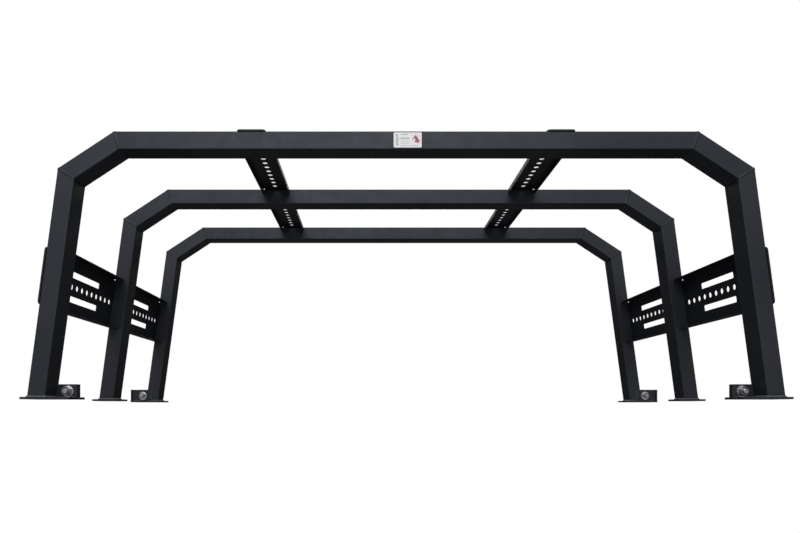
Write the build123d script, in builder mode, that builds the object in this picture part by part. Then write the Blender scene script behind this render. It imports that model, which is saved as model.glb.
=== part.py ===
"""Low bed rack for a pickup truck: three welded tube hoops on foot plates, joined along the top
and along the sides by perforated channels, with bolted clamp tabs at the four outer feet.

Millimetres. +X is to the right seen from the front, +Y runs to the back, +Z is up.
The origin lies on the ground plane, midway between the outer feet.
"""
from build123d import *
from math import atan2, cos, degrees, radians, sin, tan
import os

# ---- driving dimensions -------------------------------------------------------------------
# outline of a hoop, on its outer surface
TOP_Z = 583.6                # top of the cross bars
TOP_HALF = 637.0             # half width of the flat top, out to the first bend
SHOULDER_Z = 503.3           # height of the second bend
SHOULDER_HALF = 759.2        # half width at the second bend
LEG_SPLAY = 7.7              # degrees that each leg leans outwards towards its foot

# rectangular tube: its face lies in the plane of the hoop, its depth runs along Y
TUBE_FACE = 39.0
TUBE_DEPTH = 54.0
TUBE_WALL = 3.0
TUBE_CORNER = 2.0
TUBE_INNER_CORNER = 0.5

HOOP_PITCH = 359.0
HOOP_Y = {"front": -HOOP_PITCH, "middle": 0.0, "rear": HOOP_PITCH}

# foot plates
PLATE_THICK = 5.0
PLATE_DEPTH = 76.0
PLATE_CORNER = 5.0
PLATE_INNER_X = {"front": 728.0, "middle": 772.0, "rear": 772.0}
PLATE_OUTER_X = {"front": 838.0, "middle": 842.0, "rear": 876.0}
FOOT_SLOT_X = {"front": 758.0, "rear": 852.0}      # centre of each bolt slot
FOOT_SLOT_Y = {"front": -18.0, "rear": 10.0}       # from the mid plane of its hoop
FOOT_SLOT_LENGTH = 22.0
FOOT_SLOT_WIDTH = 11.0
WELD_LEG = 3.5               # fillet weld round each foot
WELD_EDGE = 0.6              # thickness left at the upper edge of the weld

# sheet metal channels
SHEET = 3.0
BEND_RADIUS = 2.0            # inside radius of the folded edges
CHANNEL_OVERHANG = 2.5       # how far the channels pass the outer hoops
HOLE_DIAMETER = 14.5
HOLE_PITCH = 26.2
HOLES_PER_BAY = 11
RELIEF_ALONG = 3.0           # gap between a hoop and the flanges beside it
RELIEF_ACROSS = 6.0          # taken off the web over a hoop, on both sides
TONGUE_CORNER = 8.0          # rounding of the channel's ends

RAIL_X = 338.0               # centre line of each top channel
RAIL_WIDTH = 74.5
RAIL_FLANGE = 15.0

PANEL_Z = 270.0              # height of the middle of each side channel
PANEL_WIDTH = 138.0          # along the sloping leg
PANEL_FLANGE = 28.0
SLOT_LENGTH = 145.0          # long slots above and below the side channel's row of holes
SLOT_WIDTH = 15.0
SLOT_CORNER = 3.0
SLOT_RISE = 29.1             # from the row of holes
PANEL_HOLE_SHIFT = 5.0       # how far the row of holes sits behind the middle of its bay
SLOT_SHIFT = -5.0            # from the middle of the bay

# clamp tabs at the four outer feet: beside the legs at the front, across their fronts at the rear
TAB_THICK = 3.0
TAB_BEND = 1.5               # inside radius of the fold
TAB_Y = {"front": 21.0, "rear": -TUBE_DEPTH / 2 - TAB_THICK}     # front face, from the hoop's middle
TAB_END_X = {"front": 738.5, "rear": 874.0}
TAB_START_X = 811.0          # where a rear tab starts on its leg
TAB_TOP_Z = {"front": 34.5, "rear": 41.5}
TAB_LIP = {"front": 14.0, "rear": 10.0}            # folded towards the middle hoop
CLAMP_X = {"front": 759.5, "rear": 836.0}
CLAMP_Z = {"front": 18.5, "rear": 21.5}

# M12 clamp bolts: heads behind the tabs, washers and nuts in front
BOLT = 12.0
BOLT_HOLE = 13.0
BOLT_FLATS = 19.0
BOLT_HEAD_HIGH = 7.5
BOLT_CHAMFER = 1.0
BOLT_PROUD = 4.0             # end of the bolt beyond its nut
WASHER = 26.0
WASHER_THICK = 2.5
NUT_HIGH = 10.0
HEX_CHAMFER_ANGLE = 30.0     # degrees that the turned corners slope down

# M8 button head screws in rivet nuts, which hold the channels to the hoops
SCREW = 8.0
SCREW_HOLE = 9.0
SCREW_HEAD = 14.0
SCREW_HEAD_HIGH = 4.4
SCREW_ROUNDING = 3.2
SOCKET_FLATS = 5.0
SOCKET_DEEP = 2.6
SCREW_LENGTH = 16.0
RIVNUT = 11.0
RIVNUT_LENGTH = 15.0
RIVNUT_BULGE = 14.5
RIVNUT_BULGE_LENGTH = 4.0
THREAD_ROOM = 0.1            # radial room between a thread and its nut
RAIL_SCREW_SPREAD = 36.0     # across a top channel
PANEL_SCREW_SPREAD = 92.0    # across a side channel

# label on the front cross bar
LABEL_X = 3.0                # the label is stuck on a little to the right of the middle
LABEL_WIDTH = 61.0
LABEL_HEIGHT = 33.0
LABEL_THICK = 0.6
LABEL_CORNER = 2.5

# ---- derived dimensions -------------------------------------------------------------------
SPLAY = radians(LEG_SPLAY)
SHOULDER_DROP = degrees(atan2(TOP_Z - SHOULDER_Z, SHOULDER_HALF - TOP_HALF))
CHANNEL_LENGTH = 2 * HOOP_PITCH + TUBE_DEPTH + 2 * CHANNEL_OVERHANG
NOTCH_LENGTH = TUBE_DEPTH + 2 * RELIEF_ALONG
BAY_MIDDLES = (-HOOP_PITCH / 2, HOOP_PITCH / 2)
HOOP_SPOTS = [(y, 0) for y in HOOP_Y.values()]     # where a channel crosses the hoops
CLAMPED_HOOPS = {"front": 1, "rear": -1}             # direction of the middle hoop along Y


def leg_outer(z):
    """X of the outer face of a right-hand leg at height z."""
    return SHOULDER_HALF + (SHOULDER_Z - z) * tan(SPLAY)


def leg_inner(z):
    """X of the inner face of a right-hand leg at height z."""
    return leg_outer(z) - TUBE_FACE / cos(SPLAY)


# Planes on the outer faces of the hoops: local x runs along +Y, local z points away from the tube.
LEG_PLANE = Plane(
    origin=(leg_outer(PANEL_Z), 0, PANEL_Z), x_dir=(0, 1, 0), z_dir=(cos(SPLAY), 0, sin(SPLAY))
)
RAIL_PLANE = Plane(origin=(RAIL_X, 0, TOP_Z), x_dir=(0, 1, 0), z_dir=(0, 0, 1))
LEFT_RAIL_PLANE = Plane(origin=(-RAIL_X, 0, TOP_Z), x_dir=(0, 1, 0), z_dir=(0, 0, 1))

os.makedirs("parts", exist_ok=True)


def save(builder, name):
    """Label a finished piece and write it to a file of its own."""
    builder.part.label = name
    export_step(builder.part, f"parts/{name}.step")


def mirrored(right):
    """The same piece for the left side of the rack."""
    with BuildPart() as left:
        add(mirror(right.part, about=Plane.YZ))
    return left


def save_pair(right, name):
    """Write a right-hand piece and its mirror image."""
    save(right, f"right_{name}")
    save(mirrored(right), f"left_{name}")


def save_both_sides(right, name):
    """Write a right-hand group and its mirror image to one file."""
    with BuildPart() as group:
        add(right.part)
        add(mirror(right.part, about=Plane.YZ))
    save(group, name)


# ---- hoops --------------------------------------------------------------------------------
def inner_corner(corner, angle_before, angle_after):
    """Inner end of the mitre at a bend, from its outer corner and the two tube directions."""
    reach = TUBE_FACE / cos(radians(angle_after - angle_before) / 2)
    direction = radians((angle_before + angle_after) / 2 - 90)
    return corner + Vector(reach * cos(direction), 0, reach * sin(direction))


TOP_OUTER = Vector(TOP_HALF, 0, TOP_Z)
TOP_INNER = inner_corner(TOP_OUTER, 0, -SHOULDER_DROP)
SHOULDER_OUTER = Vector(SHOULDER_HALF, 0, SHOULDER_Z)
SHOULDER_INNER = inner_corner(SHOULDER_OUTER, -SHOULDER_DROP, LEG_SPLAY - 90)
FOOT_OUTER = Vector(leg_outer(PLATE_THICK), 0, PLATE_THICK)
FOOT_INNER = Vector(leg_inner(PLATE_THICK), 0, PLATE_THICK)


def left_of(point):
    """The point's mirror image on the left side."""
    return Vector(-point.X, point.Y, point.Z)


def tube(y, start, end, end_inner, start_inner):
    """A straight hollow tube from start to end along its outer edge, with mitred ends."""
    run = (end - start).normalized()
    inward = Vector(run.Z, 0, -run.X)
    first = start - run * TUBE_FACE + inward * (TUBE_FACE / 2) + Vector(0, y, 0)
    section = Plane(origin=first, x_dir=inward, z_dir=run)
    length = (end - start).length + 2 * TUBE_FACE
    with BuildPart() as piece:
        with BuildSketch(section):
            RectangleRounded(TUBE_FACE, TUBE_DEPTH, TUBE_CORNER)
            RectangleRounded(
                TUBE_FACE - 2 * TUBE_WALL,
                TUBE_DEPTH - 2 * TUBE_WALL,
                TUBE_INNER_CORNER,
                mode=Mode.SUBTRACT,
            )
        extrude(amount=length)
        with BuildSketch(Plane.XZ.offset(-y)):
            with BuildLine():
                corners = [(p.X, p.Z) for p in (start, end, end_inner, start_inner)]
                Polyline(*corners, close=True)
            make_face()
        extrude(amount=TUBE_DEPTH, both=True, mode=Mode.INTERSECT)
    return piece


def rivet_nut_holes(plane, y, spread):
    """Sketch of the two holes where a channel is screwed to a tube."""
    with BuildSketch(plane) as holes:
        with Locations((y, 0)):
            with GridLocations(1, spread, 1, 2):
                Circle(RIVNUT / 2)
    return holes.sketch


def make_hoop(name, y):
    """The cross bar, the two shoulder tubes and the two legs of one hoop."""
    with BuildPart() as bar:
        add(tube(y, left_of(TOP_OUTER), TOP_OUTER, TOP_INNER, left_of(TOP_INNER)).part)
        for plane in (RAIL_PLANE, LEFT_RAIL_PLANE):
            holes = rivet_nut_holes(plane, y, RAIL_SCREW_SPREAD)
            extrude(holes, amount=-TUBE_WALL, mode=Mode.SUBTRACT)
    save(bar, f"{name}_cross_bar")

    save_pair(tube(y, TOP_OUTER, SHOULDER_OUTER, SHOULDER_INNER, TOP_INNER), f"{name}_shoulder")

    with BuildPart() as leg:
        add(tube(y, SHOULDER_OUTER, FOOT_OUTER, FOOT_INNER, SHOULDER_INNER).part)
        holes = rivet_nut_holes(LEG_PLANE, y, PANEL_SCREW_SPREAD)
        extrude(holes, amount=-TUBE_WALL, mode=Mode.SUBTRACT)
    save_pair(leg, f"{name}_leg")


def make_foot_plate(name, y):
    """A foot plate, with a bolt slot beside the leg at the front and at the rear."""
    inner, outer = PLATE_INNER_X[name], PLATE_OUTER_X[name]
    with BuildPart() as plate:
        with BuildSketch(Plane.XY):
            with Locations(((inner + outer) / 2, y)):
                RectangleRounded(outer - inner, PLATE_DEPTH, PLATE_CORNER)
            if name in FOOT_SLOT_X:
                with Locations((FOOT_SLOT_X[name], y + FOOT_SLOT_Y[name])):
                    SlotOverall(FOOT_SLOT_LENGTH, FOOT_SLOT_WIDTH, mode=Mode.SUBTRACT)
        extrude(amount=PLATE_THICK)
    save_pair(plate, f"{name}_foot_plate")


for hoop_name, hoop_y in HOOP_Y.items():
    make_hoop(hoop_name, hoop_y)
    make_foot_plate(hoop_name, hoop_y)


# ---- welds round the feet -----------------------------------------------------------------
def foot_weld(name, y):
    """The fillet weld between one right-hand leg and its plate, cut away where a tab stands."""
    leg_direction = (FOOT_OUTER - SHOULDER_OUTER).normalized()
    foot_middle = (FOOT_OUTER + FOOT_INNER) / 2 + Vector(0, y, 0)
    across = Vector(leg_direction.Z, 0, -leg_direction.X)
    with BuildPart() as weld:
        for height, spread in ((0.0, WELD_LEG), (WELD_LEG, WELD_EDGE)):
            z = PLATE_THICK + height
            with BuildSketch(Plane.XY.offset(z)):
                with Locations(((leg_inner(z) + leg_outer(z)) / 2, y)):
                    RectangleRounded(
                        leg_outer(z) - leg_inner(z) + 2 * spread, TUBE_DEPTH + 2 * spread, TUBE_CORNER
                    )
        loft()
        leg_section = Plane(
            origin=foot_middle - leg_direction * TUBE_FACE, x_dir=across, z_dir=leg_direction
        )
        with BuildSketch(leg_section):
            RectangleRounded(TUBE_FACE, TUBE_DEPTH, TUBE_CORNER)
        extrude(amount=2 * TUBE_FACE, mode=Mode.SUBTRACT)
        if name in CLAMPED_HOOPS:
            tab_room = TAB_THICK if name == "front" else TAB_THICK + WELD_LEG
            with BuildSketch(Plane.XZ.offset(-(y + TAB_Y[name] + TAB_THICK))):
                with BuildLine():
                    Polyline(*tab_outline(name), close=True)
                make_face()
            extrude(amount=tab_room, mode=Mode.SUBTRACT)
    return weld


# ---- clamp tabs ---------------------------------------------------------------------------
def tab_outline(name):
    """Corners of a right-hand tab in X and Z: it meets the leg's inner face or laps onto its front."""
    end, top = TAB_END_X[name], TAB_TOP_Z[name]
    if name == "front":
        start_low, start_high = leg_inner(PLATE_THICK), leg_inner(top)
    else:
        start_low, start_high = TAB_START_X, TAB_START_X
    return ((end, PLATE_THICK), (start_low, PLATE_THICK), (start_high, top), (end, top))


def make_clamp_tab(name, y):
    """An upright tab on a foot plate, with a bolt hole and a lip folded towards the middle hoop."""
    outline = tab_outline(name)
    inwards = CLAMPED_HOOPS[name]
    middle_y = y + TAB_Y[name] + TAB_THICK / 2
    lip_x = TAB_END_X[name] + inwards * TAB_THICK / 2
    lip_y = middle_y + inwards * (TAB_LIP[name] - TAB_THICK / 2)
    with BuildPart() as tab:
        with BuildSketch(Plane.XY.offset(PLATE_THICK)):
            with BuildLine():
                FilletPolyline(
                    (outline[1][0], middle_y),
                    (lip_x, middle_y),
                    (lip_x, lip_y),
                    radius=TAB_BEND + TAB_THICK / 2,
                )
            trace(line_width=TAB_THICK)
        extrude(amount=TAB_TOP_Z[name] - PLATE_THICK)
        with BuildSketch(Plane.XZ.offset(-middle_y)):
            with BuildLine():
                Polyline(*outline, close=True)
            make_face()
            with Locations((CLAMP_X[name], CLAMP_Z[name])):
                Circle(BOLT_HOLE / 2, mode=Mode.SUBTRACT)
        extrude(amount=TAB_LIP[name], both=True, mode=Mode.INTERSECT)
    save_pair(tab, f"{name}_clamp_tab")


for hoop_name in CLAMPED_HOOPS:
    make_clamp_tab(hoop_name, HOOP_Y[hoop_name])

right_welds = [foot_weld(hoop_name, hoop_y) for hoop_name, hoop_y in HOOP_Y.items()]
with BuildPart() as right_foot_welds:
    for right_weld in right_welds:
        add(right_weld.part)
save_both_sides(right_foot_welds, "foot_welds")


# ---- perforated channels ------------------------------------------------------------------
def channel(plane, width, flange, screw_spread, hole_shift=0.0, slotted=False):
    """A folded channel laid on the hoops: its web rests on the plane, its flanges reach inwards.

    Beside each hoop the flanges stop and the web narrows to a tongue that lies on the tube.
    """
    start = plane.origin - Vector(0, CHANNEL_LENGTH / 2, 0)
    with BuildPart() as piece:
        with BuildSketch(Plane(origin=start, x_dir=plane.z_dir, z_dir=(0, 1, 0))) as profile:
            with Locations((SHEET, 0)):
                Rectangle(flange, width, align=(Align.MAX, Align.CENTER))
            fillet(profile.vertices().group_by(Axis.X)[-1], radius=BEND_RADIUS + SHEET)
            RectangleRounded(
                2 * flange,
                width - 2 * SHEET,
                BEND_RADIUS,
                align=(Align.MAX, Align.CENTER),
                mode=Mode.SUBTRACT,
            )
        extrude(amount=CHANNEL_LENGTH)

        with BuildSketch(plane):
            with Locations(*HOOP_SPOTS):
                with GridLocations(1, width - RELIEF_ACROSS, 1, 2):
                    Rectangle(NOTCH_LENGTH, RELIEF_ACROSS)
        extrude(amount=2 * flange, both=True, mode=Mode.SUBTRACT)
        end_edges = piece.edges().filter_by(Axis(plane.origin, plane.z_dir)).group_by(Axis.Y)
        fillet(end_edges[0] + end_edges[-1], radius=TONGUE_CORNER)

        with BuildSketch(plane):
            with Locations(*[(middle + hole_shift, 0) for middle in BAY_MIDDLES]):
                with GridLocations(HOLE_PITCH, 1, HOLES_PER_BAY, 1):
                    Circle(HOLE_DIAMETER / 2)
            with Locations(*HOOP_SPOTS):
                with GridLocations(1, screw_spread, 1, 2):
                    Circle(SCREW_HOLE / 2)
            if slotted:
                with Locations(*[(middle + SLOT_SHIFT, 0) for middle in BAY_MIDDLES]):
                    with GridLocations(1, 2 * SLOT_RISE, 1, 2):
                        RectangleRounded(SLOT_LENGTH, SLOT_WIDTH, SLOT_CORNER)
        extrude(amount=SHEET, mode=Mode.SUBTRACT)
    return piece


save_pair(channel(RAIL_PLANE, RAIL_WIDTH, RAIL_FLANGE, RAIL_SCREW_SPREAD), "top_channel")
save_pair(
    channel(LEG_PLANE, PANEL_WIDTH, PANEL_FLANGE, PANEL_SCREW_SPREAD, PANEL_HOLE_SHIFT, slotted=True),
    "side_channel",
)


# ---- screws and rivet nuts ----------------------------------------------------------------
# Each fastener is made once at the origin, with its axis along Z, then copied to its places.
with BuildPart() as button_screw:
    Cylinder(SCREW_HEAD / 2, SCREW_HEAD_HIGH, align=(Align.CENTER, Align.CENTER, Align.MIN))
    fillet(button_screw.edges().group_by(Axis.Z)[-1], radius=SCREW_ROUNDING)
    with BuildSketch(Plane.XY.offset(SCREW_HEAD_HIGH)):
        RegularPolygon(SOCKET_FLATS / 2, 6, major_radius=False)
    extrude(amount=-SOCKET_DEEP, mode=Mode.SUBTRACT)
    with BuildSketch():
        Circle(SCREW / 2 - THREAD_ROOM)
    extrude(amount=-SCREW_LENGTH)

with BuildPart() as rivet_nut:
    with BuildSketch():
        Circle(RIVNUT / 2)
    extrude(amount=-RIVNUT_LENGTH)
    with BuildSketch(Plane.XY.offset(-TUBE_WALL)):
        Circle(RIVNUT_BULGE / 2)
    extrude(amount=-RIVNUT_BULGE_LENGTH)
    with BuildSketch():
        Circle(SCREW / 2)
    extrude(amount=-RIVNUT_LENGTH, mode=Mode.SUBTRACT)


def at_screw_places(fastener, plane, spread):
    """Copies of a fastener on a plane, where one channel is screwed to the three hoops."""
    with BuildPart() as group:
        with Locations(plane):
            with Locations(*HOOP_SPOTS):
                with GridLocations(1, spread, 1, 2):
                    add(fastener.part)
    return group


for channel_name, tube_plane, screw_spread in (
    ("top_channel", RAIL_PLANE, RAIL_SCREW_SPREAD),
    ("side_channel", LEG_PLANE, PANEL_SCREW_SPREAD),
):
    screws = at_screw_places(button_screw, tube_plane.offset(SHEET), screw_spread)
    save_both_sides(screws, f"{channel_name}_screws")
    nuts = at_screw_places(rivet_nut, tube_plane, screw_spread)
    save_both_sides(nuts, f"{channel_name}_rivet_nuts")


# ---- clamp bolts --------------------------------------------------------------------------
def hexagon_prism(height):
    """A bolt head or nut of the clamp bolts' size, with its top corners turned off."""
    corner_radius = BOLT_FLATS / 2 / cos(radians(30))
    with BuildPart() as turned:
        Cylinder(corner_radius, height, align=(Align.CENTER, Align.CENTER, Align.MIN))
        chamfer(
            turned.edges().group_by(Axis.Z)[-1],
            length=(corner_radius - BOLT_FLATS / 2) * tan(radians(HEX_CHAMFER_ANGLE)),
            length2=corner_radius - BOLT_FLATS / 2,
        )
        with BuildSketch():
            RegularPolygon(BOLT_FLATS / 2, 6, major_radius=False, rotation=30)
        extrude(amount=height, mode=Mode.INTERSECT)
    return turned


with BuildPart() as clamp_bolt:
    add(hexagon_prism(BOLT_HEAD_HIGH).part)
    with BuildSketch():
        Circle(BOLT / 2)
    extrude(amount=-(TAB_THICK + WASHER_THICK + NUT_HIGH + BOLT_PROUD))
    chamfer(clamp_bolt.edges().group_by(Axis.Z)[0], length=BOLT_CHAMFER)

with BuildPart() as clamp_washer:
    with BuildSketch():
        Circle(WASHER / 2)
        Circle(BOLT_HOLE / 2, mode=Mode.SUBTRACT)
    extrude(amount=WASHER_THICK)

with BuildPart() as clamp_nut:
    add(hexagon_prism(NUT_HIGH).part)
    with BuildSketch():
        Circle(BOLT / 2 + THREAD_ROOM)
    extrude(amount=NUT_HIGH, mode=Mode.SUBTRACT)


def at_clamp_places(fastener, name, ahead, facing=-1):
    """Copies of a fastener at the four tabs, a distance ahead of their front faces.

    Its Z axis points forwards, or backwards if facing is 1.
    """
    with BuildPart() as group:
        for hoop_name in CLAMPED_HOOPS:
            y = HOOP_Y[hoop_name] + TAB_Y[hoop_name] - ahead
            for side in (1, -1):
                spot = (side * CLAMP_X[hoop_name], y, CLAMP_Z[hoop_name])
                with Locations(Plane(origin=spot, x_dir=(1, 0, 0), z_dir=(0, facing, 0))):
                    add(fastener.part)
    save(group, name)


at_clamp_places(clamp_bolt, "clamp_bolts", -TAB_THICK, facing=1)
at_clamp_places(clamp_washer, "clamp_washers", 0)
at_clamp_places(clamp_nut, "clamp_nuts", WASHER_THICK)

# ---- label --------------------------------------------------------------------------------
with BuildPart() as label_plate:
    with BuildSketch(Plane.XZ.offset(HOOP_PITCH + TUBE_DEPTH / 2)):
        with Locations((LABEL_X, TOP_Z - TUBE_FACE / 2)):
            RectangleRounded(LABEL_WIDTH, LABEL_HEIGHT, LABEL_CORNER)
    extrude(amount=LABEL_THICK)
save(label_plate, "label_plate")
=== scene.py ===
"""Looks of the ladder rack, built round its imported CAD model. Metres, in the CAD frame."""
from math import cos, pi, sin

import bpy
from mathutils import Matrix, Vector


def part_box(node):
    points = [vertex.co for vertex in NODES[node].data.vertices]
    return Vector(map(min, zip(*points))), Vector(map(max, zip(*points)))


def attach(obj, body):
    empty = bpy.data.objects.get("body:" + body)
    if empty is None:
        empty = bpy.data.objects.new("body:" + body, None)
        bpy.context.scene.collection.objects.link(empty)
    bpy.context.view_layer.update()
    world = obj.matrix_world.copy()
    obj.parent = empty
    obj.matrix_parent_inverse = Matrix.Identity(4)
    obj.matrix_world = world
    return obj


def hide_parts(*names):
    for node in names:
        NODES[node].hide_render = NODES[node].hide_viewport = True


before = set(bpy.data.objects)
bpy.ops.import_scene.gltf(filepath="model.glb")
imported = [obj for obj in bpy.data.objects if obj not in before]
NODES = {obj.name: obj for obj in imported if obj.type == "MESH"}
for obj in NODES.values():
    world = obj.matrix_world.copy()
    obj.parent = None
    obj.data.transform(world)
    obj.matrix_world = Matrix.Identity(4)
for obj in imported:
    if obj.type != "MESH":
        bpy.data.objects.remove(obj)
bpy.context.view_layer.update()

MM = 0.001
HOOPS = ("front", "middle", "rear")
SIDES = {"left": -1, "right": 1}
TUBE_CORNER = 2.0 * MM       # outer corners of the tubes, as in the CAD
TAB_THICK = 3.0 * MM         # as in the CAD


# ---- node materials -----------------------------------------------------------------------
class Shader:
    """A Principled material with short ways to add and join nodes."""

    def __init__(self, name):
        self.material = bpy.data.materials.new(name)
        self.material.use_nodes = True
        self.tree = self.material.node_tree
        self.principled = self.tree.nodes["Principled BSDF"]

    def set(self, **values):
        """Set the shader's own sockets, given as names with _ for a space."""
        for name, value in values.items():
            self.principled.inputs[name.replace("_", " ")].default_value = value

    def node(self, kind, inputs=None, **settings):
        """Add a node. An input is a value or the socket that feeds it."""
        made = self.tree.nodes.new(kind)
        for key, value in settings.items():
            setattr(made, key, value)
        for key, value in (inputs or {}).items():
            if isinstance(value, bpy.types.NodeSocket):
                self.tree.links.new(value, made.inputs[key])
            else:
                made.inputs[key].default_value = value
        return made

    def feed(self, socket, name):
        """Join a socket to an input of the shader."""
        self.tree.links.new(socket, self.principled.inputs[name])

    def place(self, stretch=(1, 1, 1)):
        """Object coordinates, which are metres in the CAD frame, stretched along the axes."""
        coordinates = self.node("ShaderNodeTexCoord").outputs["Object"]
        return self.node(
            "ShaderNodeMapping", {"Vector": coordinates, "Scale": stretch}
        ).outputs["Vector"]

    def noise(self, scale, detail=3.0, roughness=0.55, place=None):
        """Noise of a scale in features per metre."""
        inputs = {"Vector": place or self.place(), "Scale": scale, "Detail": detail, "Roughness": roughness}
        return self.node("ShaderNodeTexNoise", inputs).outputs["Fac"]

    def spread(self, value, low, high, to_low=0.0, to_high=1.0):
        """Map a value from one range to another, clamped."""
        inputs = {"Value": value, "From Min": low, "From Max": high, "To Min": to_low, "To Max": to_high}
        return self.node("ShaderNodeMapRange", inputs).outputs["Result"]

    def math(self, operation, a, b=0.0):
        """One step of arithmetic."""
        return self.node("ShaderNodeMath", {0: a, 1: b}, operation=operation).outputs[0]

    def blend(self, factor, a, b):
        """Mix two colours."""
        return self.node(
            "ShaderNodeMix", {0: factor, 6: a, 7: b}, data_type="RGBA"
        ).outputs[2]

    def bump(self, height, distance, strength=1.0, normal=None):
        """Bump from a height between 0 and 1, over a distance in metres."""
        inputs = {"Height": height, "Distance": distance, "Strength": strength}
        if normal:
            inputs["Normal"] = normal
        return self.node("ShaderNodeBump", inputs).outputs["Normal"]

    def rounded(self, radius):
        """The normal as it would be with every sharp edge rounded."""
        return self.node("ShaderNodeBevel", {"Radius": radius}, samples=6).outputs["Normal"]

    def edges(self, radius, low, high):
        """1 along sharp edges and 0 on flat faces."""
        flat = self.node("ShaderNodeNewGeometry").outputs["Normal"]
        likeness = self.node(
            "ShaderNodeVectorMath", {0: self.rounded(radius), 1: flat}, operation="DOT_PRODUCT"
        ).outputs["Value"]
        return self.spread(likeness, 1 - low, 1 - high)


def powder_coat():
    """Black powder coat: a fine grain over a slow orange peel, thinner and paler along the edges."""
    coat = Shader("powder_coat")
    cloud = coat.noise(7.0, detail=4.0)
    grain = coat.noise(1500.0, detail=2.0)
    peel = coat.noise(260.0, detail=1.0)
    worn = coat.math("MULTIPLY", coat.edges(0.0012, 0.02, 0.16), coat.spread(coat.noise(60.0), 0.45, 0.7))
    body = coat.blend(coat.spread(cloud, 0.3, 0.7), (0.017, 0.019, 0.024, 1), (0.026, 0.028, 0.034, 1))
    speckled = coat.blend(coat.spread(grain, 0.55, 0.8, 0.0, 0.35), body, (0.055, 0.057, 0.062, 1))
    coat.feed(coat.blend(coat.math("MULTIPLY", worn, 0.5), speckled, (0.11, 0.11, 0.115, 1)), "Base Color")
    dull = coat.spread(coat.noise(34.0, detail=5.0), 0.3, 0.7, 0.44, 0.56)
    coat.feed(coat.math("SUBTRACT", dull, coat.math("MULTIPLY", worn, 0.12)), "Roughness")
    softened = coat.rounded(0.0006)
    peeled = coat.bump(peel, 0.00012, 0.5, softened)
    coat.feed(coat.bump(grain, 0.00006, 0.6, peeled), "Normal")
    coat.set(IOR=1.5, Specular_IOR_Level=0.31, Specular_Tint=(0.82, 0.88, 1.0, 1))
    return coat.material


def weld_coat_painted_highlight():
    """The same coat over a weld bead, smoother and a little glossier, with spatter grains, its colour
    painted paler than the coat as a painted highlight.
    """
    coat = Shader("weld_coat_painted_highlight")
    grain = coat.noise(900.0, detail=3.0)
    spatter = coat.noise(340.0, detail=0.0)
    # Painted highlight: these colours are far paler than the black coat, for the light that the beads catch.
    body = coat.blend(coat.spread(grain, 0.35, 0.75), (0.06, 0.062, 0.068, 1), (0.13, 0.132, 0.138, 1))
    coat.feed(body, "Base Color")
    coat.feed(coat.spread(spatter, 0.3, 0.7, 0.34, 0.48), "Roughness")
    lumpy = coat.bump(coat.spread(spatter, 0.62, 0.72), 0.00025, 0.6)
    coat.feed(coat.bump(grain, 0.00006, 0.5, lumpy), "Normal")
    return coat.material


def plated(name, dark, pale, shine):
    """Plated steel with turning marks, small stains and brighter edges."""
    metal = Shader(name)
    stains = metal.noise(150.0, detail=5.0)
    marks = metal.noise(900.0, detail=2.0, place=metal.place((1.0, 0.15, 1.0)))
    worn = metal.edges(0.0006, 0.02, 0.2)
    tone = metal.blend(metal.spread(stains, 0.3, 0.7), dark, pale)
    metal.feed(metal.blend(metal.math("MULTIPLY", worn, 0.5), tone, (0.86, 0.86, 0.87, 1)), "Base Color")
    metal.feed(metal.spread(marks, 0.3, 0.7, shine, shine + 0.16), "Roughness")
    metal.feed(metal.bump(marks, 0.00005, 0.4, metal.rounded(0.00025)), "Normal")
    metal.set(Metallic=1.0)
    return metal.material


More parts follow.
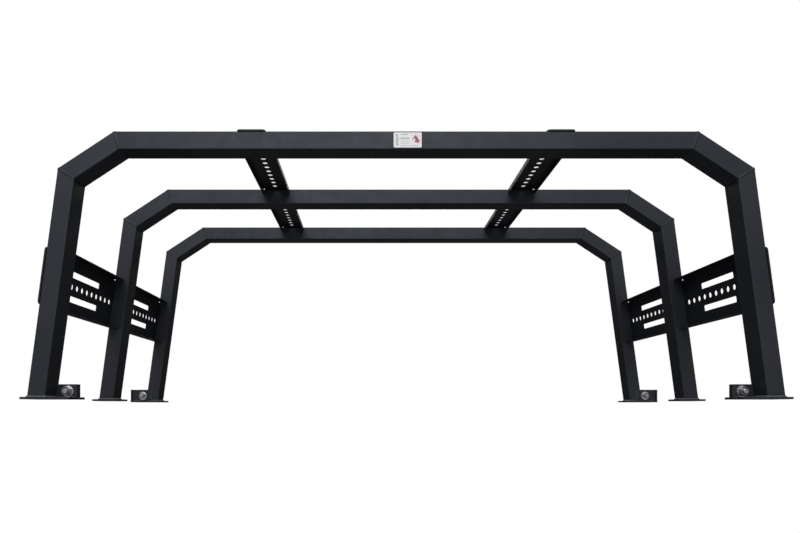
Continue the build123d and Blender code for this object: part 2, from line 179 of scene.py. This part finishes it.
def label_print():
    """A printed label with no lettering: a tinted patch with dark red diamonds, and grey bars."""
    label = Shader("label_print")
    low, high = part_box("label_plate")
    middle = (low + high) / 2
    half_width, half_height = (high.x - low.x) / 2, (high.z - low.z) / 2
    centred = label.node(
        "ShaderNodeMapping",
        {
            "Vector": label.place(),
            "Location": (-middle.x / half_width, 0, -middle.z / half_height),
            "Scale": (1 / half_width, 1, 1 / half_height),
        },
    ).outputs["Vector"]
    split = label.node("ShaderNodeSeparateXYZ", {0: centred})
    across, up = split.outputs["X"], split.outputs["Z"]

    def inside(value, start, end):
        past_start = label.math("GREATER_THAN", value, start)
        return label.math("MULTIPLY", past_start, label.math("LESS_THAN", value, end))

    def block(left, right, bottom, top):
        return label.math("MULTIPLY", inside(across, left, right), inside(up, bottom, top))

    film = label.blend(
        label.spread(label.noise(80.0, detail=4.0), 0.3, 0.7), (0.70, 0.71, 0.73, 1), (0.80, 0.80, 0.81, 1)
    )
    pink = (0.80, 0.64, 0.68, 1)
    grey = (0.42, 0.43, 0.45, 1)
    dark = (0.13, 0.13, 0.14, 1)
    red = (0.22, 0.03, 0.05, 1)

    def diamond(middle_x, middle_z, reach_x, reach_z):
        side = label.math("ABSOLUTE", label.math("SUBTRACT", across, middle_x))
        rise = label.math("ABSOLUTE", label.math("SUBTRACT", up, middle_z))
        scaled = label.math("ADD", label.math("DIVIDE", side, reach_x), label.math("DIVIDE", rise, reach_z))
        return label.math("LESS_THAN", scaled, 1.0)

    # Places are given from the label's middle, in halves of its width and height.
    printed = label.blend(block(0.28, 0.92, -0.46, 0.84), film, pink)
    printed = label.blend(block(-0.84, -0.66, -0.72, 0.50), printed, grey)
    printed = label.blend(block(-0.84, -0.72, 0.56, 0.76), printed, dark)
    bars = (
        (0.66, 0.80, 0.02),
        (0.10, 0.32, 0.12),
        (-0.20, -0.12, 0.16),
        (-0.46, -0.38, 0.10),
    )
    for bottom, top, right in bars:
        printed = label.blend(block(-0.52, right, bottom, top), printed, grey)
    printed = label.blend(block(-0.52, 0.80, -0.78, -0.70), printed, grey)
    printed = label.blend(diamond(0.56, 0.16, 0.20, 0.52), printed, red)
    printed = label.blend(diamond(0.72, -0.12, 0.15, 0.34), printed, red)
    printed = label.blend(diamond(0.48, 0.02, 0.08, 0.24), printed, film)
    label.feed(printed, "Base Color")
    label.feed(label.spread(label.noise(400.0), 0.3, 0.7, 0.28, 0.42), "Roughness")
    label.feed(label.bump(label.noise(500.0), 0.00004, 0.4, label.rounded(0.0002)), "Normal")
    return label.material


COAT = powder_coat()
# The weld beads' coat is painted paler than the powder coat: painted highlight.
WELD_COAT_PAINTED_HIGHLIGHT = weld_coat_painted_highlight()
ZINC = plated("zinc_plate", (0.80, 0.81, 0.82, 1), (0.95, 0.95, 0.95, 1), 0.24)
# The bolts and nuts are the same zinc plate as the washers; their darker colours are painted shade, darker
# copies of that zinc.
SHADED_BOLT_ZINC = plated("shaded_bolt_zinc_plate", (0.34, 0.34, 0.35, 1), (0.56, 0.56, 0.57, 1), 0.20)
SHADED_NUT_ZINC = plated("shaded_nut_zinc_plate", (0.13, 0.13, 0.14, 1), (0.30, 0.30, 0.31, 1), 0.24)
BLACK_OXIDE = plated("black_oxide", (0.035, 0.035, 0.038, 1), (0.075, 0.075, 0.080, 1), 0.34)
LABEL_PRINT = label_print()

for name, node in NODES.items():
    material = COAT
    # Nuts and bolts take the darker copies of the zinc: painted shade.
    if name == "clamp_nuts":
        material = SHADED_NUT_ZINC
    elif name == "clamp_bolts":
        material = SHADED_BOLT_ZINC
    elif name.startswith("clamp_") or name.endswith("rivet_nuts"):
        material = ZINC
    elif name.endswith("_screws"):
        material = BLACK_OXIDE
    elif name == "label_plate":
        material = LABEL_PRINT
    node.data.materials.clear()
    node.data.materials.append(material)


# ---- weld beads ---------------------------------------------------------------------------
def add_mesh(name, points, faces, material):
    """A smooth-shaded piece that rides on the rack."""
    mesh = bpy.data.meshes.new(name)
    mesh.from_pydata(points, [], faces)
    mesh.shade_smooth()
    mesh.materials.append(material)
    piece = bpy.data.objects.new(name, mesh)
    bpy.context.scene.collection.objects.link(piece)
    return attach(piece, "root")


def ring_faces(rings, around):
    """Faces of a closed tube of rings, which joins up at its end."""
    faces = []
    for i in range(rings):
        for j in range(around):
            a, b = i * around, (i + 1) % rings * around
            k = (j + 1) % around
            faces.append((a + j, a + k, b + k, b + j))
    return faces


def rounded_loop(half_u, half_v, corner, step):
    """Evenly spaced points and outward normals round a rectangle with rounded corners."""
    straight = [2 * (half_v - corner), 2 * (half_u - corner)]
    sides = [straight[0], straight[1], straight[0], straight[1]]
    arc = corner * pi / 2
    total = sum(sides) + 4 * arc
    count = round(total / step)
    loop = []
    for i in range(count):
        s = total * i / count
        for turn, side in enumerate(sides):
            if s < side + arc:
                break
            s -= side + arc
        heading = turn * pi / 2
        reach_u = (half_u, half_v, half_u, half_v)[turn]
        reach_v = (half_v, half_u, half_v, half_u)[turn]
        if s < side:
            u, v, angle = reach_u, -reach_v + corner + s, 0.0
        else:
            angle = (s - side) / corner
            u = reach_u - corner + corner * cos(angle)
            v = reach_v - corner + corner * sin(angle)
        c, d = cos(heading), sin(heading)
        normal = heading + angle
        loop.append((u * c - v * d, u * d + v * c, cos(normal), sin(normal), total * i / count))
    return loop


def leg_frame(hoop, side):
    """Middle of a leg's foot on top of its plate, half sizes of its section there, and its lean."""
    low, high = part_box(f"{side}_{hoop}_leg")
    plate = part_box(f"{side}_{hoop}_foot_plate")[1].z
    sign = SIDES[side]
    outer_foot = max(abs(low.x), abs(high.x))
    outer_shoulder = max(abs(c.x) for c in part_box(f"{side}_{hoop}_shoulder"))
    shoulder_inner = min(abs(low.x), abs(high.x))
    shoulder_inner_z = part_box(f"{side}_{hoop}_shoulder")[0].z
    lean = (outer_foot - outer_shoulder) / (high.z - plate)
    inner_foot = shoulder_inner + (shoulder_inner_z - plate) * lean
    centre = Vector((sign * (outer_foot + inner_foot) / 2, (low.y + high.y) / 2, plate))
    return centre, (outer_foot - inner_foot) / 2, (high.y - low.y) / 2, sign * lean


WELD_REACH = 3.4 * MM        # leg of the fillet welds round the legs
WELD_SUNK = 0.6 * MM         # how far they reach into the metal
WELD_RIPPLE = 2.0 * MM       # length of one ripple
WELD_STEP = 0.45 * MM
WELD_AROUND = 9              # points across a bead
RIPPLE_SWEEP = 2.2           # radians that a ripple lags behind at a bead's edges


def weld_face(leg, flatness, swell, travelled):
    """How far a rippled fillet weld's face reaches out and up, at places from its toe to its top."""
    places = []
    for j in range(WELD_AROUND - 1):
        angle = pi / 2 * j / (WELD_AROUND - 2)
        flat = 1 / (cos(angle) + sin(angle))
        wave = cos(2 * pi * travelled / WELD_RIPPLE + RIPPLE_SWEEP * cos(2 * angle - pi / 2))
        reach = leg * (1 - flatness + flatness * flat) * (1 + swell * wave * sin(2 * angle))
        places.append((reach * cos(angle), reach * sin(angle)))
    return places


def join(points, faces, more_points, more_faces):
    """Add a piece's points and faces to a mesh's."""
    start = len(points)
    points += more_points
    faces += [tuple(start + i for i in face) for face in more_faces]


def foot_bead(hoop, side):
    """Points and faces of the rippled fillet weld round one leg."""
    centre, half_x, half_y, lean = leg_frame(hoop, side)
    loop = rounded_loop(half_x, half_y, TUBE_CORNER, WELD_STEP)
    points = []
    for x, y, nx, ny, travelled in loop:
        section = weld_face(WELD_REACH, 0.55, 0.055, travelled)
        section.append((-WELD_SUNK, -WELD_SUNK))
        for out, up in section:
            points.append(centre + Vector((x + nx * out - lean * up, y + ny * out, up)))
    return points, ring_faces(len(loop), WELD_AROUND)


foot_points, foot_faces = [], []
for hoop in HOOPS:
    for side in SIDES:
        join(foot_points, foot_faces, *foot_bead(hoop, side))
foot_welds = add_mesh("foot_weld_beads", foot_points, foot_faces, WELD_COAT_PAINTED_HIGHLIGHT)
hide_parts("foot_welds")

MITRE_WIDTH = 3.0 * MM       # half width of the dressed bead at a mitre
MITRE_PROUD = 0.16 * MM
MITRE_SUNK = 0.3 * MM        # how far the bead reaches into the tube
MITRE_SWELL = 0.12           # share of its height by which the bead ripples
MITRE_DIP = 0.1              # share of its height by which its edges dip under the tube's face


def mitre_bead(name, outer, inner, half_depth):
    """A bead round a mitre, dressed nearly flush, from its outer to its inner corner."""
    middle, along = (outer + inner) / 2, (outer - inner).normalized()
    across = along.cross(Vector((0, 1, 0)))
    loop = rounded_loop((outer - inner).length / 2, half_depth, TUBE_CORNER, WELD_STEP)
    points = []
    for u, v, nu, nv, travelled in loop:
        normal = along * nu + Vector((0, nv, 0))
        base = middle + along * u + Vector((0, v, 0))
        wave = 1 + MITRE_SWELL * cos(2 * pi * travelled / WELD_RIPPLE)
        points.append(base - normal * MITRE_SUNK)
        for j in range(1, WELD_AROUND):
            part = 2 * (j - 1) / (WELD_AROUND - 2) - 1
            high = MITRE_PROUD * ((1 - part * part) * wave - MITRE_DIP)
            points.append(base + normal * high + across * (MITRE_WIDTH * part))
    bead = add_mesh(name, points, ring_faces(len(loop), WELD_AROUND), COAT)


for hoop in HOOPS:
    bar_low, bar_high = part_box(f"{hoop}_cross_bar")
    middle_y, half_depth = (bar_low.y + bar_high.y) / 2, (bar_high.y - bar_low.y) / 2
    for side, sign in SIDES.items():
        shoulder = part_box(f"{side}_{hoop}_shoulder")
        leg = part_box(f"{side}_{hoop}_leg")
        near = min(abs(shoulder[0].x), abs(shoulder[1].x))
        far = max(abs(shoulder[0].x), abs(shoulder[1].x))
        leg_near = min(abs(leg[0].x), abs(leg[1].x))
        mitre_bead(
            f"{side}_{hoop}_top_mitre_bead",
            Vector((sign * bar_high.x, middle_y, bar_high.z)),
            Vector((sign * near, middle_y, bar_low.z)),
            half_depth,
        )
        mitre_bead(
            f"{side}_{hoop}_leg_mitre_bead",
            Vector((sign * far, middle_y, leg[1].z)),
            Vector((sign * leg_near, middle_y, shoulder[0].z)),
            half_depth,
        )


TAB_BEAD = 2.4 * MM          # leg of the fillet welds along the clamp tabs
TAB_BEAD_SUNK = 0.3 * MM
TAB_BEAD_START = 0.35        # share of its full size with which a bead starts and ends
FOOT_RUN_GAPS = {"front": (4.0 * MM, 8.0 * MM), "rear": (4.0 * MM, 6.0 * MM)}    # at its inner and outer end
UPRIGHT_RUN_GAPS = (4.0 * MM, 1.0 * MM)                                          # at its foot and top


def straight_bead(start, end, out, rise):
    """Points and faces of a rippled fillet weld in the corner between two faces."""
    count = max(2, round((end - start).length / WELD_STEP))
    step = (end - start) / count
    points, faces = [], []
    for i in range(count + 1):
        size = min(1.0, TAB_BEAD_START + min(i, count - i) * WELD_STEP / TAB_BEAD)
        points.append(start + step * i - (out + rise) * TAB_BEAD_SUNK)
        for across, up in weld_face(TAB_BEAD * size, 0.6, 0.06, i * WELD_STEP):
            points.append(start + step * i + out * across + rise * up)
    for i in range(count):
        for j in range(WELD_AROUND):
            a, k = i * WELD_AROUND, (j + 1) % WELD_AROUND
            faces.append((a + j, a + k, a + WELD_AROUND + k, a + WELD_AROUND + j))
    faces.append(tuple(range(WELD_AROUND)))
    faces.append(tuple(count * WELD_AROUND + j for j in reversed(range(WELD_AROUND))))
    return points, faces


def tab_beads(hoop, side):
    """The welds that hold a clamp tab: along its foot, and up the leg's front face at the rear."""
    sign = SIDES[side]
    low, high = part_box(f"{side}_{hoop}_clamp_tab")
    near, far = min(abs(low.x), abs(high.x)), max(abs(low.x), abs(high.x))
    leg_low, leg_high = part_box(f"{side}_{hoop}_leg")
    forwards, upwards = Vector((0, -1, 0)), Vector((0, 0, 1))
    if hoop == "front":
        face_y, inner_end = low.y, near
    else:
        face_y, inner_end = leg_low.y - TAB_THICK, max(abs(leg_low.x), abs(leg_high.x))
    inner_gap, outer_gap = FOOT_RUN_GAPS[hoop]
    start = Vector((sign * (inner_end + inner_gap), face_y, low.z))
    end = Vector((sign * (far - outer_gap), face_y, low.z))
    points, faces = straight_bead(start, end, forwards, upwards)
    if hoop == "rear":
        foot_gap, top_gap = UPRIGHT_RUN_GAPS
        start = Vector((sign * near, leg_low.y, low.z + foot_gap))
        end = Vector((sign * near, leg_low.y, high.z - top_gap))
        join(points, faces, *straight_bead(start, end, Vector((-sign, 0, 0)), forwards))
    bead = add_mesh(f"{side}_{hoop}_tab_weld_bead", points, faces, WELD_COAT_PAINTED_HIGHLIGHT)


for hoop in ("front", "rear"):
    for side in SIDES:
        tab_beads(hoop, side)


# ---- floor, light and camera --------------------------------------------------------------
FLOOR_DROP = 0.5 * MM        # under the feet
FLOOR_REACH = 30.0           # to each side


def pale_floor():
    """A pale floor, faintly lit from within. It shows from above only, as the camera is lower than it."""
    floor_paint = Shader("floor")
    tone = floor_paint.spread(floor_paint.noise(1.5), 0.3, 0.7)
    floor_paint.feed(floor_paint.blend(tone, (0.82, 0.82, 0.83, 1), (0.86, 0.86, 0.87, 1)), "Base Color")
    floor_paint.set(Roughness=0.9, Emission_Color=(0.92, 0.92, 0.93, 1), Emission_Strength=0.45)
    under = floor_paint.node("ShaderNodeNewGeometry").outputs["Backfacing"]
    clear = floor_paint.node("ShaderNodeBsdfTransparent").outputs["BSDF"]
    mixed = floor_paint.node(
        "ShaderNodeMixShader", {0: under, 1: floor_paint.principled.outputs["BSDF"], 2: clear}
    ).outputs["Shader"]
    output = floor_paint.tree.nodes["Material Output"]
    floor_paint.tree.links.new(mixed, output.inputs["Surface"])
    mesh = bpy.data.meshes.new("floor")
    corners = [(x, y, -FLOOR_DROP) for x, y in ((-1, -1), (1, -1), (1, 1), (-1, 1))]
    mesh.from_pydata([(x * FLOOR_REACH, y * FLOOR_REACH, z) for x, y, z in corners], [], [(0, 1, 2, 3)])
    mesh.materials.append(floor_paint.material)
    floor = bpy.data.objects.new("floor", mesh)
    bpy.context.scene.collection.objects.link(floor)
    floor.visible_diffuse = False
    floor.visible_glossy = False


def softbox(name, place, target, size, power):
    """A rectangular area light that the camera doesn't see."""
    light = bpy.data.lights.new(name, "AREA")
    light.shape = "RECTANGLE"
    light.size, light.size_y = size
    light.energy = power
    lamp = bpy.data.objects.new(name, light)
    lamp.location = place
    lamp.rotation_euler = (Vector(target) - Vector(place)).to_track_quat("-Z", "Y").to_euler()
    lamp.visible_camera = False
    bpy.context.scene.collection.objects.link(lamp)


def white_world(front, above, below, around):
    """White to the camera. All else sees a dim studio, brighter in front, overhead and from its floor."""
    world = bpy.data.worlds.new("studio")
    bpy.context.scene.world = world
    world.use_nodes = True
    tree = world.node_tree
    nodes, links = tree.nodes, tree.links
    nodes.clear()
    direction = nodes.new("ShaderNodeTexCoord")
    axes = nodes.new("ShaderNodeSeparateXYZ")
    links.new(direction.outputs["Generated"], axes.inputs[0])

    def glow(axis, start, full, strength):
        ramp = nodes.new("ShaderNodeMapRange")
        ramp.interpolation_type = "SMOOTHSTEP"
        ramp.inputs["From Min"].default_value = start
        ramp.inputs["From Max"].default_value = full
        ramp.inputs["To Max"].default_value = strength
        links.new(axes.outputs[axis], ramp.inputs["Value"])
        return ramp.outputs["Result"]

    def total(a, b):
        added = nodes.new("ShaderNodeMath")
        links.new(a, added.inputs[0])
        links.new(b, added.inputs[1])
        return added.outputs[0]

    ambient = nodes.new("ShaderNodeBackground")
    upright = total(glow("Z", 0.1, 1.0, above), glow("Z", 0.0, -0.6, below))
    light = total(glow("Y", -0.35, -0.95, front), upright)
    dim = nodes.new("ShaderNodeMath")
    dim.inputs[1].default_value = around
    links.new(light, dim.inputs[0])
    links.new(dim.outputs[0], ambient.inputs["Strength"])
    white = nodes.new("ShaderNodeBackground")
    white.inputs["Color"].default_value = (1, 1, 1, 1)
    seen = nodes.new("ShaderNodeLightPath")
    mix = nodes.new("ShaderNodeMixShader")
    links.new(seen.outputs["Is Camera Ray"], mix.inputs[0])
    links.new(ambient.outputs[0], mix.inputs[1])
    links.new(white.outputs[0], mix.inputs[2])
    output = nodes.new("ShaderNodeOutputWorld")
    links.new(mix.outputs[0], output.inputs["Surface"])


pale_floor()
white_world(front=0.6, above=0.25, below=0.10, around=0.04)
softbox("key", (-0.3, -2.4, 2.6), (0, -0.2, 0.5), (3.0, 1.4), 43)
softbox("front_high", (-0.5, -4.5, 2.6), (0, 0, 0.4), (3.0, 1.2), 54)
softbox("overhead", (0, 0.4, 3.2), (0, 0.2, 0), (3.4, 2.4), 30)
softbox("back", (0, 4.6, 2.4), (0, 0, 0.5), (1.8, 1.0), 20)

# The camera looks straight along the rack, a little lower than its feet, with its frame shifted.
CAMERA_PLACE = (-0.0774, -1.7335, -0.0188)
CAMERA_LENS = 27.86          # millimetres, on a sensor 36 mm wide
CAMERA_SHIFT_X = 0.0366
CAMERA_SHIFT_Y = 0.1767

camera_data = bpy.data.cameras.new("camera")
camera_data.lens = CAMERA_LENS
camera_data.sensor_width = 36.0
camera_data.shift_x = CAMERA_SHIFT_X
camera_data.shift_y = CAMERA_SHIFT_Y
camera_data.clip_end = 100.0
camera = bpy.data.objects.new("camera", camera_data)
camera.location = CAMERA_PLACE
camera.rotation_euler = (pi / 2, 0, 0)
bpy.context.scene.collection.objects.link(camera)
bpy.context.scene.camera = camera
bpy.context.scene.view_settings.view_transform = "Standard"
